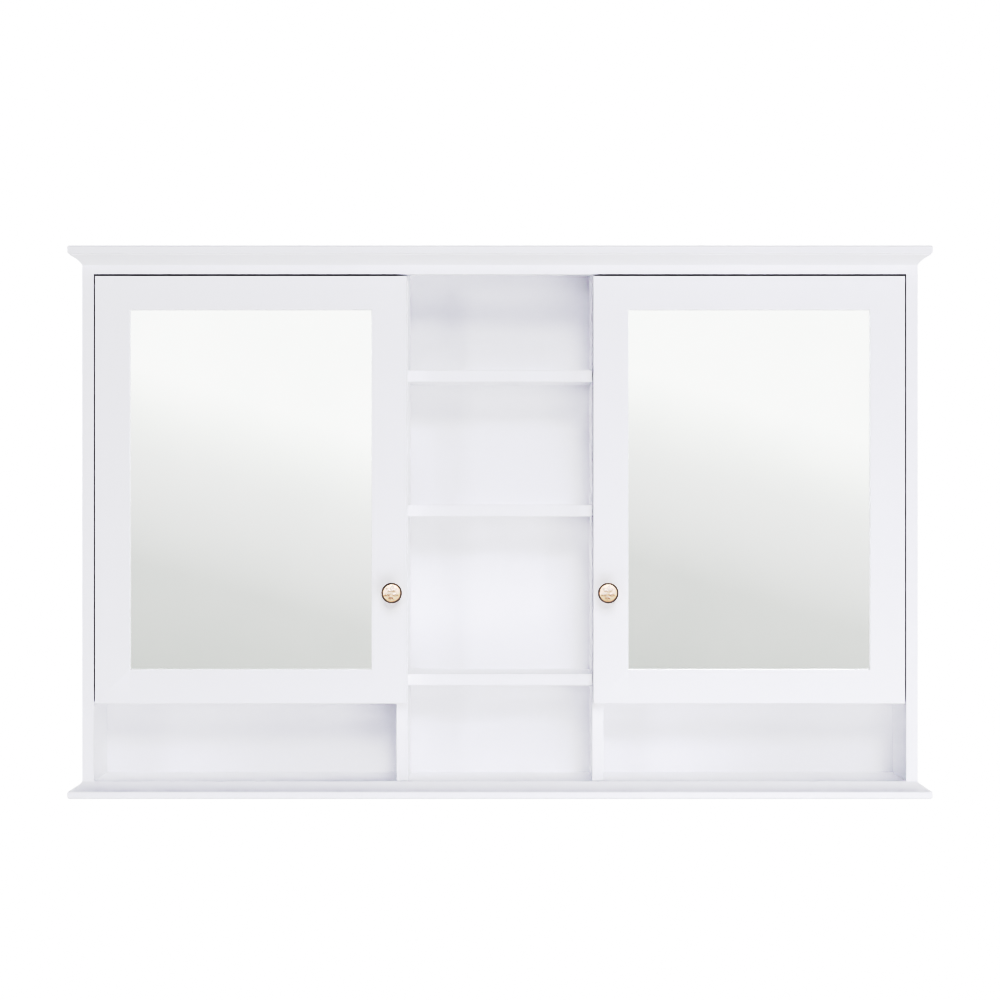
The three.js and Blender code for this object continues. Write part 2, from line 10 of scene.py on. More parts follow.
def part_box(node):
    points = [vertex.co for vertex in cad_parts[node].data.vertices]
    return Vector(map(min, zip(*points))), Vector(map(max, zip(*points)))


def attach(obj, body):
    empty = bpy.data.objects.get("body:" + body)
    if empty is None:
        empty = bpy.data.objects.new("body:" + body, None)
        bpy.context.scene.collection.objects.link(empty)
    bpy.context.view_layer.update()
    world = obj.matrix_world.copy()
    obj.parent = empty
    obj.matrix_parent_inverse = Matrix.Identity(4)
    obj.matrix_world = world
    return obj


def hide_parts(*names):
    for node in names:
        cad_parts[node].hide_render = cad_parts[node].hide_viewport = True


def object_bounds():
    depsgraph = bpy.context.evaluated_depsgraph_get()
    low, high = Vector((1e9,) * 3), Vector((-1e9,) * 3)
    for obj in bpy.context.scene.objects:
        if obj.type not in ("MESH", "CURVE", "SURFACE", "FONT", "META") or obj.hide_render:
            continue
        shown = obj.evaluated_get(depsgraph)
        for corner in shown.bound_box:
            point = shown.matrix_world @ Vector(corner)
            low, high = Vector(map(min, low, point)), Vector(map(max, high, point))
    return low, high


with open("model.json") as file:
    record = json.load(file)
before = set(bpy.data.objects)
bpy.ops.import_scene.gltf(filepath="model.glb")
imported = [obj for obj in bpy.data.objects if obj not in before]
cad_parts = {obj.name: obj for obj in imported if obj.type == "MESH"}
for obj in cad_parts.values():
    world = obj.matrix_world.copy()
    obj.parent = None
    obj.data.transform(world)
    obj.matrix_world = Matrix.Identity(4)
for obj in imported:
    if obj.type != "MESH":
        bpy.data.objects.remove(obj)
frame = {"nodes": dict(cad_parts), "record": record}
cad_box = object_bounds()

# ---- Sizes taken from the frame, in metres, and the sizes of what is added to it ----

MM = 0.001
SIDES = {"left": -1, "right": 1}
NODES = frame["nodes"]
BODIES = frame["record"]["behaviour"]["bodies"]
BODY_OF = {node: body for body, members in BODIES.items() for node in members}
BOXES = {node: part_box(node) for node in NODES}

HALF_WIDTH = BOXES["side_panel_right"][1].x
FRONT = BOXES["side_panel_right"][0].y
OVERHANG = cad_box[1].x - HALF_WIDTH
DOOR_BACK = BOXES["door_right_inner_stile"][1].y

SHARP_ANGLE = math.radians(38)
FLAT_ANGLE = math.radians(0.3)


# ---- Camera ----

CAMERA_DISTANCE = 3.75  # from the front plane
CAMERA_RISE = 0.0232  # above the cabinet's middle
VIEW_WIDTH = 1.0436  # of the front plane, across the picture


def make_camera():
    """A level camera on the centre line, far enough back for the nearly flat view."""
    data = bpy.data.cameras.new("camera")
    data.sensor_width = 36
    data.lens = data.sensor_width * CAMERA_DISTANCE / VIEW_WIDTH
    camera = bpy.data.objects.new("camera", data)
    middle = (cad_box[0].z + cad_box[1].z) / 2
    camera.location = (0, FRONT - CAMERA_DISTANCE, middle + CAMERA_RISE)
    camera.rotation_euler = (math.radians(90), 0, 0)
    bpy.context.scene.collection.objects.link(camera)
    bpy.context.scene.camera = camera


# ---- Material helpers ----

NOISE_SPREAD = (0.3, 0.7)  # most of a noise's values lie between these


def add_node(tree, kind, inputs=None, **settings):
    """A shader node with its settings made and its inputs set or linked."""
    made = tree.nodes.new(kind)
    for name, value in settings.items():
        setattr(made, name, value)
    for name, value in (inputs or {}).items():
        if isinstance(value, bpy.types.NodeSocket):
            tree.links.new(value, made.inputs[name])
        else:
            made.inputs[name].default_value = value
    return made


def new_material(name):
    made = bpy.data.materials.new(name)
    made.use_nodes = True
    return made, made.node_tree, made.node_tree.nodes["Principled BSDF"]


def place_of(tree, stretch=(1, 1, 1)):
    """The point on the surface, in metres, stretched along some axes."""
    where = add_node(tree, "ShaderNodeTexCoord").outputs["Object"]
    mapping = add_node(tree, "ShaderNodeMapping", {"Vector": where, "Scale": stretch})
    return mapping.outputs["Vector"]


def noise(tree, place, per_metre, detail=2.0, roughness=0.5):
    inputs = {"Vector": place, "Scale": per_metre, "Detail": detail, "Roughness": roughness}
    return add_node(tree, "ShaderNodeTexNoise", inputs).outputs["Fac"]


def between(tree, factor, low, high, start=NOISE_SPREAD[0], end=NOISE_SPREAD[1]):
    """A number that goes from low to high as the factor goes from start to end."""
    inputs = {"Value": factor, "From Min": start, "From Max": end, "To Min": low, "To Max": high}
    return add_node(tree, "ShaderNodeMapRange", inputs).outputs["Result"]


def two_colours(tree, factor, dark, light):
    ramp = add_node(tree, "ShaderNodeValToRGB", {"Fac": factor})
    for stop, position, colour in zip(ramp.color_ramp.elements, NOISE_SPREAD, (dark, light)):
        stop.position = position
        stop.color = (*colour, 1)
    return ramp.outputs["Color"]


def bump(tree, height, depth, strength=1.0, before=None):
    inputs = {"Height": height, "Distance": depth, "Strength": strength}
    if before is not None:
        inputs["Normal"] = before
    return add_node(tree, "ShaderNodeBump", inputs).outputs["Normal"]


def link(tree, shader, **sockets):
    for name, value in sockets.items():
        tree.links.new(value, shader.inputs[name.replace("_", " ")])


# ---- Materials ----


def lacquer(name, dark, light, gloss, peel_depth):
    """Sprayed satin lacquer: a faint drift of tone, uneven gloss and fine orange peel."""
    made, tree, shader = new_material(name)
    place = place_of(tree)
    drift = noise(tree, place, 7, detail=4)
    patches = noise(tree, place, 60, detail=3)
    peel = noise(tree, place, 620, detail=1)
    dust = noise(tree, place, 2600, detail=2)
    normal = bump(tree, dust, 0.006 * MM, 0.5, before=bump(tree, peel, peel_depth))
    link(
        tree,
        shader,
        Base_Color=two_colours(tree, drift, dark, light),
        Roughness=between(tree, patches, *gloss),
        Normal=normal,
    )
    return made


def board_back():
    """Fibreboard, thinly painted: short fibres and specks show through the primer."""
    made, tree, shader = new_material("board_back")
    place = place_of(tree)
    fibres = noise(tree, place_of(tree, (1, 1, 0.35)), 900, detail=5, roughness=0.7)
    drift = noise(tree, place, 5, detail=3)
    thin = two_colours(tree, fibres, (0.77, 0.755, 0.72), (0.835, 0.825, 0.80))
    full = two_colours(tree, drift, (0.80, 0.79, 0.77), (0.84, 0.83, 0.81))
    colour = add_node(tree, "ShaderNodeMixRGB", {"Fac": 0.5, "Color1": thin, "Color2": full})
    link(
        tree,
        shader,
        Base_Color=colour.outputs["Color"],
        Roughness=between(tree, fibres, 0.55, 0.72),
        Normal=bump(tree, fibres, 0.03 * MM),
    )
    return made


def mirror_glass():
    """A silvered mirror, with the slight unevenness of float glass and a little dust."""
    made, tree, shader = new_material("mirror_glass")
    place = place_of(tree)
    haze = noise(tree, place, 14, detail=5)
    shader.inputs["Metallic"].default_value = 1
    link(
        tree,
        shader,
        Base_Color=two_colours(tree, haze, (0.925, 0.938, 0.934), (0.945, 0.955, 0.951)),
        Roughness=between(tree, haze, 0.012, 0.03),
    )
    return made


def hardboard():
    """Pressed brown hardboard with its matted fibres."""
    made, tree, shader = new_material("hardboard")
    fibres = noise(tree, place_of(tree, (1, 1, 0.5)), 1100, detail=6, roughness=0.75)
    link(
        tree,
        shader,
        Base_Color=two_colours(tree, fibres, (0.19, 0.115, 0.06), (0.36, 0.235, 0.13)),
        Roughness=between(tree, fibres, 0.6, 0.85),
        Normal=bump(tree, fibres, 0.08 * MM),
    )
    return made


def metal(name, dark, light, gloss, grain=(1, 1, 12), per_metre=900, depth=0.01):
    """Metal with fine grain drawn out along one axis and uneven gloss."""
    made, tree, shader = new_material(name)
    lines = noise(tree, place_of(tree, grain), per_metre, detail=3)
    tarnish = noise(tree, place_of(tree), 220, detail=4)
    shader.inputs["Metallic"].default_value = 1
    link(
        tree,
        shader,
        Base_Color=two_colours(tree, tarnish, dark, light),
        Roughness=between(tree, lines, *gloss),
        Normal=bump(tree, lines, depth * MM),
    )
    return made


def zinc():
    """Zinc plate: flat spangles of slightly different tone."""
    made, tree, shader = new_material("zinc_plate")
    place = place_of(tree)
    cells = add_node(tree, "ShaderNodeTexVoronoi", {"Vector": place, "Scale": 240})
    grain = noise(tree, place, 1500, detail=3)
    spangle = add_node(tree, "ShaderNodeSeparateColor", {"Color": cells.outputs["Color"]})
    shader.inputs["Metallic"].default_value = 1
    tone = spangle.outputs["Red"]
    link(
        tree,
        shader,
        Base_Color=two_colours(tree, tone, (0.56, 0.57, 0.57), (0.70, 0.71, 0.70)),
        Roughness=between(tree, tone, 0.34, 0.48, 0, 1),
        Normal=bump(tree, grain, 0.012 * MM),
    )
    return made


def plastic(name, dark, light, gloss):
    """Moulded plastic with a fine spark-eroded grain."""
    made, tree, shader = new_material(name)
    place = place_of(tree)
    grain = noise(tree, place, 1900, detail=2)
    link(
        tree,
        shader,
        Base_Color=two_colours(tree, noise(tree, place, 90), dark, light),
        Roughness=between(tree, grain, *gloss),
        Normal=bump(tree, grain, 0.03 * MM),
    )
    return made


WHITE = ((0.94, 0.94, 0.943), (0.952, 0.952, 0.955))
LACQUER = lacquer("white_lacquer", *WHITE, (0.3, 0.4), 0.012 * MM)
INNER_LACQUER = lacquer("back_board", *WHITE, (0.42, 0.55), 0.02 * MM)
BOARD_BACK = board_back()
MIRROR = mirror_glass()
HARDBOARD = hardboard()
NICKEL = metal("nickel_steel", (0.60, 0.59, 0.565), (0.70, 0.69, 0.67), (0.2, 0.36))
ZINC = zinc()
GRAINLESS = (1, 1, 1)
GOLD = metal("knob_gold", (0.74, 0.66, 0.55), (0.80, 0.72, 0.61), (0.28, 0.42), GRAINLESS, 1600, 0.03)
LEAF = metal("knob_leaf", (0.50, 0.43, 0.385), (0.55, 0.47, 0.42), (0.28, 0.42), GRAINLESS, 1600, 0.03)
CREAM = metal("knob_face", (0.59, 0.485, 0.4), (0.64, 0.53, 0.44), (0.4, 0.55), GRAINLESS, 1400, 0.05)
BRONZE = metal("knob_bronze", (0.12, 0.1, 0.083), (0.23, 0.196, 0.166), (0.3, 0.5), GRAINLESS, 1200)
PLASTIC = plastic("catch_plastic", (0.80, 0.80, 0.78), (0.84, 0.84, 0.82), (0.38, 0.5))
RUBBER = plastic("bumper_rubber", (0.70, 0.71, 0.72), (0.78, 0.79, 0.80), (0.3, 0.4))


# ---- Mesh helpers ----


def new_piece(name, bm, body, material, replaces=()):
    """Turns a bmesh into a piece that rides on a body, shaded smooth between its sharp edges."""
    bmesh.ops.recalc_face_normals(bm, faces=bm.faces)
    mesh = bpy.data.meshes.new(name)
    bm.to_mesh(mesh)
    bm.free()
    mesh.shade_smooth()
    mesh.set_sharp_from_angle(angle=SHARP_ANGLE)
    mesh.materials.append(material)
    piece = bpy.data.objects.new(name, mesh)
    bpy.context.scene.collection.objects.link(piece)
    weighting = piece.modifiers.new("even_shading", "WEIGHTED_NORMAL")
    weighting.keep_sharp = True
    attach(piece, body)
    if replaces:
        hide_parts(*replaces)
    return piece


def skin(loops):
    """A closed body through loops that all have the same number of points."""
    bm = bmesh.new()
    rings = [[bm.verts.new(p) for p in loop] for loop in loops]
    count = len(rings[0])
    for near, far in zip(rings, rings[1:]):
        for i in range(count):
            j = (i + 1) % count
            bm.faces.new((near[i], near[j], far[j], far[i]))
    bm.faces.new(list(reversed(rings[0])))
    bm.faces.new(rings[-1])
    return bm


def lathe(outline, steps=32):
    """A closed body of revolution about z. The outline holds (radius, height), both above 0."""
    turns = [2 * math.pi * i / steps for i in range(steps)]
    return skin([[(r * math.cos(t), r * math.sin(t), h) for t in turns] for r, h in outline])


def arc(centre, radius, start, end, steps=6):
    """Points on an arc, with its angles in degrees."""
    angles = [math.radians(start + (end - start) * i / steps) for i in range(steps + 1)]
    return [(centre[0] + radius * math.cos(a), centre[1] + radius * math.sin(a)) for a in angles]


def bend(start, control, end, steps=10):
    """Points on a quadratic curve."""
    made = []
    for i in range(steps + 1):
        t = i / steps
        weights = ((1 - t) ** 2, 2 * t * (1 - t), t * t)
        pairs = zip(weights, (start, control, end))
        x, y = (sum(values) for values in zip(*((w * p[0], w * p[1]) for w, p in pairs)))
        made.append((x, y))
    return made


def facing(direction, at):
    """The matrix that turns +z to a direction and moves the origin to a point."""
    turn = Vector(direction).to_track_quat("Z", "X").to_matrix().to_4x4()
    return Matrix.Translation(Vector(at)) @ turn


def joined(parts):
    """One bmesh that holds several separate bodies."""
    whole = bmesh.new()
    for part in parts:
        mesh = bpy.data.meshes.new("joined")
        part.to_mesh(mesh)
        part.free()
        whole.from_mesh(mesh)
        bpy.data.meshes.remove(mesh)
    return whole


def moved(bm, matrix):
    bmesh.ops.transform(bm, matrix=matrix, verts=bm.verts)
    return bm


# ---- Boards with eased edges ----
# Each board keeps its size. Its free edges are rounded a little, and its joints stay tight.

HARDWARE = ("hinge", "knob", "catch", "shelf_pin", "hanger")
BOARDS = [
    node
    for node in BODY_OF
    if not node.startswith(HARDWARE) and not node.endswith(("mirror", "backing"))
]
TOUCHING = 0.05 * MM
PROBE = 0.3 * MM
SHORTEST_EDGE = 2 * MM
BOARD_EASE = 0.5 * MM
DOOR_EASE = 0.7 * MM
RAIL_EASE = 0.4 * MM
PANEL_EASE = 0.1 * MM


def cad_body(node):
    """A bmesh of a CAD node, with the triangles of each flat face joined up."""
    source = NODES[node].data
    bm = bmesh.new()
    corners = [bm.verts.new(v.co) for v in source.vertices]
    for polygon in source.polygons:
        bm.faces.new([corners[i] for i in polygon.vertices])
    bmesh.ops.remove_doubles(bm, verts=bm.verts, dist=0.001 * MM)
    bmesh.ops.dissolve_limit(bm, angle_limit=FLAT_ANGLE, verts=bm.verts, edges=bm.edges)
    bmesh.ops.recalc_face_normals(bm, faces=bm.faces)
    return bm


TREES = {node: BVHTree.FromBMesh(cad_body(node)) for node in BOARDS}


def near_boards(node):
    """The boards on the same body that touch this one."""
    lo, hi = BOXES[node]
    found = []
    for other in BOARDS:
        low, high = BOXES[other]
        meets = all(low[i] < hi[i] + TOUCHING and high[i] > lo[i] - TOUCHING for i in range(3))
        if other != node and BODY_OF[other] == BODY_OF[node] and meets:
            found.append(other)
    return found


def holds(board, point):
    place, normal, _, _ = TREES[board].find_nearest(point)
    return (point - place).dot(normal) < 0


def is_free(edge, neighbours):
    """True if no neighbour lies against either face beside the edge."""
    middle = (edge.verts[0].co + edge.verts[1].co) / 2
    across = (edge.link_faces[0].normal - edge.link_faces[1].normal) * PROBE
    points = (middle + across, middle - across)
    return not any(holds(board, p) for board in neighbours for p in points)


def split_at(bm, node, neighbours):
    """Cuts a board's faces where a neighbour starts or ends, so that an edge can end there."""
    lo, hi = BOXES[node]
    for other in neighbours:
        for limit in BOXES[other]:
            for axis in range(3):
                if lo[axis] + MM < limit[axis] < hi[axis] - MM:
                    across = [float(i == axis) for i in range(3)]
                    geometry = bm.verts[:] + bm.edges[:] + bm.faces[:]
                    bmesh.ops.bisect_plane(bm, geom=geometry, plane_co=limit, plane_no=across, dist=1e-7)


def eased(node, radius, shortest=SHORTEST_EDGE, segments=3):
    """The CAD body of a node with its free sharp edges rounded."""
    bm = cad_body(node)
    neighbours = near_boards(node) if node in BOARDS else []
    split_at(bm, node, neighbours)
    chosen = []
    for edge in bm.edges:
        if len(edge.link_faces) == 2 and edge.is_convex and edge.calc_length() > shortest:
            if edge.calc_face_angle() > SHARP_ANGLE and is_free(edge, neighbours):
                chosen.append(edge)
    bmesh.ops.bevel(
        bm,
        geom=chosen,
        offset=radius,
        offset_type="OFFSET",
        segments=segments,
        profile=0.5,
        affect="EDGES",
        clamp_overlap=True,
    )
    bmesh.ops.dissolve_limit(bm, angle_limit=FLAT_ANGLE, verts=bm.verts, edges=bm.edges)
    return bm


def refine(node, radius, material, slot, **options):
    """Shows a CAD node as a piece of the same size with eased edges."""
    bm = eased(node, radius, **options)
    return new_piece(f"{node}_shape", bm, BODY_OF[node], material, [node])


def refine_boards():
    for name in SIDES:
        for board in (f"side_panel_{name}", f"divider_{name}"):
            refine(board, BOARD_EASE, LACQUER, "white_lacquer")
        for board in (f"cupboard_floor_{name}", f"adjustable_shelf_{name}"):
            refine(board, BOARD_EASE, LACQUER, "white_lacquer")
        for part in ("outer_stile", "inner_stile", "top_rail", "bottom_rail"):
            refine(f"door_{name}_{part}", DOOR_EASE, LACQUER, "white_lacquer")
        refine(f"hanging_rail_{name}", RAIL_EASE, INNER_LACQUER, "back_board")
    for place in ("top", "middle", "bottom"):
        refine(f"centre_shelf_{place}", BOARD_EASE, LACQUER, "white_lacquer")
    refine("fascia_rail", BOARD_EASE, LACQUER, "white_lacquer")


def make_back_panel():
    """Painted on the inside, and left thinly primed on the side towards the wall."""
    panel = refine("back_panel", PANEL_EASE, INNER_LACQUER, "back_board", segments=1)
    panel.data.materials.append(BOARD_BACK)
    for face in panel.data.polygons:
        face.material_index = int(face.normal.y > 0.9)


# ---- Mouldings ----

CORNER_EASE = 0.6 * MM  # where a moulding turns the corner
CROWN_RADII = (2.6 * MM, 2 * MM)  # under and over the crown's edge
NOSE_RADII = (2.7 * MM, 2 * MM)
NOSE_HEIGHT = 8.2 * MM
BASE_HOLLOW = (4.5 * MM, 10.8 * MM)  # the point its curve bends towards
CORNICE_HOLLOW = (4.5 * MM, 4 * MM)  # its outset, and its depth below the crown
CORNICE_LIP = 0.8 * MM
MITRE_GAP = 0.1 * MM


def plan_loop(outset, height):
    """The outline of a board that stands out by outset at the front and both sides."""
    x = HALF_WIDTH + outset - CORNER_EASE
    y = FRONT - outset + CORNER_EASE
    left = arc((-x, y), CORNER_EASE, 180, 270, 4)
    right = arc((x, y), CORNER_EASE, 270, 360, 4)
    outline = [(-x - CORNER_EASE, 0), *left, *right, (x + CORNER_EASE, 0)]
    return [(*point, height) for point in outline]


def rounded_edge(bottom, top, radii):
    """(outset, height) round the edge of a board, from its underside to its top."""
    low, high = radii
    under = arc((OVERHANG - low, bottom + low), low, -90, 0)
    over = arc((OVERHANG - high, top - high), high, 0, 90)
    return under + over


def make_crown():
    low, high = BOXES["crown_slab"]
    edge = rounded_edge(low.z, high.z, CROWN_RADII)
    bm = skin([plan_loop(*point) for point in edge])
    new_piece("crown_board", bm, "carcass", LACQUER, ["crown_slab"])


def make_base():
    """A rounded nose with a shallow hollow above it, up to the foot of the carcass."""
    low, high = BOXES["base_board"]
    nose = rounded_edge(low.z, low.z + NOSE_HEIGHT, NOSE_RADII)
    outset, height = BASE_HOLLOW
    hollow = bend(nose[-1], (outset, low.z + height), (0, high.z))
    bm = skin([plan_loop(*point) for point in nose + hollow[1:]])
    new_piece("base_moulding", bm, "carcass", LACQUER, ["base_board"])


def cornice_section():
    """(outset, height) round the hollow strip that fills the corner under the crown."""
    low, high = BOXES["cornice_front"]
    reach = FRONT - low.y
    outset, drop = CORNICE_HOLLOW
    hollow = bend((0, low.z), (outset, high.z - drop), (reach, high.z - CORNICE_LIP))
    return hollow + [(reach, high.z), (0, high.z)]


def make_cornice():
    section = cornice_section()
    runs = {"front": []}
    for name, side in SIDES.items():
        mitre = [(side * (HALF_WIDTH + out - MITRE_GAP), FRONT - out, z) for out, z in section]
        runs["front"].append(mitre)
        near = [(side * (HALF_WIDTH + out), FRONT - out, z) for out, z in section]
        runs[name] = [near, [(x, 0, z) for x, _, z in near]]
    for name, ends in runs.items():
        node = f"cornice_{name}"
        new_piece(f"{node}_strip", skin(ends), "carcass", LACQUER, [node])


# ---- Fasteners ----

# Head radius and height.
KNOB_SCREW = (3.4 * MM, 0.9 * MM)
CUP_SCREW = (2.7 * MM, 1 * MM)
ARM_SCREW = (3.2 * MM, 1.2 * MM)
CATCH_SCREW = (2.4 * MM, 0.9 * MM)
HANGER_SCREW = (3.4 * MM, 1.1 * MM)


def screw_head(radius, height, slot_turn):
    """A low domed head with a cross recess, standing on z = 0."""
    dome = [(radius * 0.97, -0.2 * MM), (radius, 0)]
    dome += [(radius * math.cos(a), height * math.sin(a)) for a in (0.35, 0.7, 1.05, 1.35)]
    dome += [(radius * 0.08, height)]
    head = lathe(dome, 24)
    arm, depth = radius * 0.62, height * 0.75
    for vertex in head.verts:
        angle = math.atan2(vertex.co.y, vertex.co.x) - slot_turn
        off_arm = abs(math.sin(2 * angle)) * math.hypot(vertex.co.x, vertex.co.y)
        if vertex.co.z > 0 and off_arm < radius * 0.2 and math.hypot(*vertex.co.xy) < arm:
            vertex.co.z -= depth
    return head


def place_screws(name, spots, direction, body, size):
    """One piece that holds a group of separate screw heads."""
    heads = []
    for i, spot in enumerate(spots):
        heads.append(moved(screw_head(*size, 0.4 + i), facing(direction, spot)))
    return new_piece(name, joined(heads), body, NICKEL)


def middle_of(node):
    low, high = BOXES[node]
    return (low + high) / 2


# ---- Hinges ----

HINGE_EASE = 0.25 * MM
HINGE_PIN_EASE = 0.15 * MM
CUP_SCREW_INSET = 4.2 * MM  # from the ends of the cup's flange
ARM_SCREW_INSETS = (7 * MM, 25 * MM)  # from the arm's rear end
ARM_BASE = 3 * MM  # its thickness, on the side panel


def make_hinges():
    for name, side in SIDES.items():
        for place in ("upper", "lower"):
            tag = f"{name}_{place}"
            door = BODY_OF[f"hinge_cup_{tag}"]
            looks = (NICKEL, "nickel_steel")
            refine(f"hinge_cup_{tag}", HINGE_EASE, *looks, shortest=3 * MM, segments=2)
            refine(f"hinge_arm_{tag}", HINGE_EASE, *looks, shortest=3 * MM, segments=2)
            refine(f"hinge_pin_{tag}", HINGE_PIN_EASE, *looks, shortest=9 * MM, segments=2)
            low, high = BOXES[f"hinge_cup_{tag}"]
            x, z = (low.x + high.x) / 2, (low.z + high.z) / 2
            reach = (high.z - low.z) / 2 - CUP_SCREW_INSET
            spots = [(x, high.y, z - reach), (x, high.y, z + reach)]
            place_screws(f"hinge_cup_screws_{tag}", spots, (0, 1, 0), door, CUP_SCREW)
            low, high = BOXES[f"hinge_arm_{tag}"]
            wall = (high.x if side > 0 else low.x) - side * ARM_BASE
            spots = [(wall, high.y - inset, z) for inset in ARM_SCREW_INSETS]
            place_screws(f"hinge_arm_screws_{tag}", spots, (-side, 0, 0), "carcass", ARM_SCREW)


# ---- Shelf pins ----

PIN_RADIUS = 2.5 * MM
COLLAR_RADIUS = 3.5 * MM
COLLAR_THICKNESS = 0.8 * MM
PIN_TIP_ROUND = 0.6 * MM
CORE = 0.2 * MM  # the radius at which the ends of the turned bodies close


def shelf_pin(length_in, length_out):
    ease = 0.5 * MM
    outline = [
        (CORE, -length_in),
        (PIN_RADIUS - ease, -length_in),
        (PIN_RADIUS, -length_in + ease),
        (PIN_RADIUS, 0),
        (COLLAR_RADIUS - 0.1 * MM, 0),
        (COLLAR_RADIUS, 0.15 * MM),
        (COLLAR_RADIUS, COLLAR_THICKNESS - 0.25 * MM),
        (COLLAR_RADIUS - 0.25 * MM, COLLAR_THICKNESS),
        (PIN_RADIUS, COLLAR_THICKNESS),
        *arc((PIN_RADIUS - PIN_TIP_ROUND, length_out - PIN_TIP_ROUND), PIN_TIP_ROUND, 0, 90, 4),
        (CORE, length_out),
    ]
    return lathe(outline, 24)


def make_shelf_pins():
    for name, side in SIDES.items():
        boards = {"outer": (f"side_panel_{name}", -side), "inner": (f"divider_{name}", side)}
        for place, (board, way) in boards.items():
            face = BOXES[board][0].x if way < 0 else BOXES[board][1].x
            for row in ("front", "back"):
                pin = f"shelf_pin_{name}_{place}_{row}"
                low, high = BOXES[pin]
                ends = (high.x - face, face - low.x) if way > 0 else (face - low.x, high.x - face)
                centre = middle_of(pin)
                bm = shelf_pin(ends[1], ends[0])
                moved(bm, facing((way, 0, 0), (face, centre.y, centre.z)))
                new_piece(f"{pin}_turned", bm, "carcass", NICKEL, [pin])


# ---- Knobs ----

# All heights are from the front of the door.
KNOB_RADIUS = 10.5 * MM
NECK_RADIUS = 4.8 * MM
CUP_HEIGHT = 12.9 * MM  # where the cup of the head ends and its rim starts
RIM_WIDTH = 1.1 * MM
RIM_ROUND = 0.55 * MM
RIM_SHOULDER = 18.6 * MM
RIM_HEIGHT = 19.4 * MM  # the middle of its round edge
FACE_SEAT = 16 * MM
FACE_EDGE = 18.9 * MM
FACE_RISE = 0.9 * MM
LEAF_HEIGHT = 0.55 * MM
LEAF_FOOT = 0.35 * MM  # how far a leaf reaches into the face
MIDRIB_WIDTH = 0.13  # of the half width
MIDRIB_DEPTH = 0.45  # of the leaf's height, as is the next
VEIN_DEPTH = 0.16
VEIN_TURNS = (34, 9)  # radians of the ripple along the leaf, and back towards its edge
STEM_RADIUS = 0.42 * MM
LEAF_SEAT = FACE_EDGE - 0.05 * MM  # the relief is sunk a little in the face


def knob_body():
    """A round foot, a narrow neck and the cup of the head."""
    outline = [(0.3 * MM, 0), (7.3 * MM, 0), (7.5 * MM, 0.2 * MM), (7.5 * MM, 1.2 * MM)]
    waist = (NECK_RADIUS, 6 * MM)
    outline += bend((7.3 * MM, 1.5 * MM), (NECK_RADIUS, 2.3 * MM), waist)
    outline += bend(waist, (NECK_RADIUS, 9.6 * MM), (8 * MM, 11 * MM))[1:]
    outline += bend((8 * MM, 11 * MM), (9.2 * MM, 11.6 * MM), (9.7 * MM, 12.8 * MM), 5)[1:]
    outline += [(0.3 * MM, CUP_HEIGHT)]
    return lathe(outline, 64)


def knob_rim():
    """The dark bezel round the head, which holds the face."""
    seam = CUP_HEIGHT + 0.05 * MM
    outline = [(8.8 * MM, seam), (9.7 * MM, seam)]
    outline += bend((9.9 * MM, 13.1 * MM), (KNOB_RADIUS, 13.7 * MM), (KNOB_RADIUS, 15.4 * MM), 5)
    outline += [(KNOB_RADIUS, RIM_SHOULDER)]
    outline += arc((KNOB_RADIUS - RIM_ROUND, RIM_HEIGHT), RIM_ROUND, 0, 180, 8)
    outline += [(KNOB_RADIUS - RIM_WIDTH, RIM_SHOULDER)]
    steps = 64
    turns = [2 * math.pi * i / steps for i in range(steps)]
    bm = bmesh.new()
    rings = [[bm.verts.new((r * math.cos(t), r * math.sin(t), h)) for t in turns] for r, h in outline]
    for near, far in zip(rings, rings[1:] + rings[:1]):
        for i in range(steps):
            j = (i + 1) % steps
            bm.faces.new((near[i], near[j], far[j], far[i]))
    return bm


def face_rise(radius):
    """How high the domed face is above its edge."""
    return FACE_RISE * (1 - (radius / (KNOB_RADIUS - RIM_WIDTH)) ** 2)


def knob_face():
    """A shallow dome, gently hammered, let into the rim."""
    edge = KNOB_RADIUS - RIM_WIDTH - 0.1 * MM
    outline = [(0.3 * MM, FACE_SEAT), (edge, FACE_SEAT), (edge, FACE_EDGE)]
    radii = [edge * (1 - i / 14) for i in range(1, 14)]
    outline += [(r, FACE_EDGE + face_rise(r)) for r in radii]
    outline += [(0.1 * MM, FACE_EDGE + face_rise(0))]
    return lathe(outline, 64)


def leaf(length, width, height):
    """A raised leaf along +x from the origin: a full blade, a sunk midrib and side veins."""
    loops = []
    across = [-1 + 2 * i / 16 for i in range(17)]
    for step in range(23):
        u = 0.02 + 0.96 * step / 22
        half = width / 2 * math.sin(math.pi * u ** 0.8) ** 0.85 + 0.01 * MM
        top = []
        for v in across:
            blade = height * (1 - v * v) ** 0.5 * (0.35 + 0.65 * math.sin(math.pi * u) ** 0.5)
            midrib = MIDRIB_DEPTH * height * math.exp(-((v / MIDRIB_WIDTH) ** 2))
            ripple = math.sin(VEIN_TURNS[0] * u - VEIN_TURNS[1] * abs(v))
            vein = VEIN_DEPTH * height * ripple * abs(v) * (1 - v * v)
            top.append((u * length, v * half, max(blade - midrib + vein, 0)))
        under = [(u * length, v * half, -LEAF_FOOT) for v in reversed(across)]
        loops.append(top + under)
    return skin(loops)


def stem(points, thickness):
    """A tapering round stem along points in the plane."""
    loops = []
    for i, (x, y) in enumerate(points):
        ahead = Vector(points[min(i + 1, len(points) - 1)])
        way = (ahead - Vector(points[max(i - 1, 0)])).normalized()
        radius = thickness * (1 - 0.5 * i / len(points))
        turns = [2 * math.pi * k / 10 for k in range(10)]
        circle = [(radius * math.cos(t), radius * math.sin(t)) for t in turns]
        loops.append([(x - way.y * side, y + way.x * side, up) for side, up in circle])
    return skin(loops)


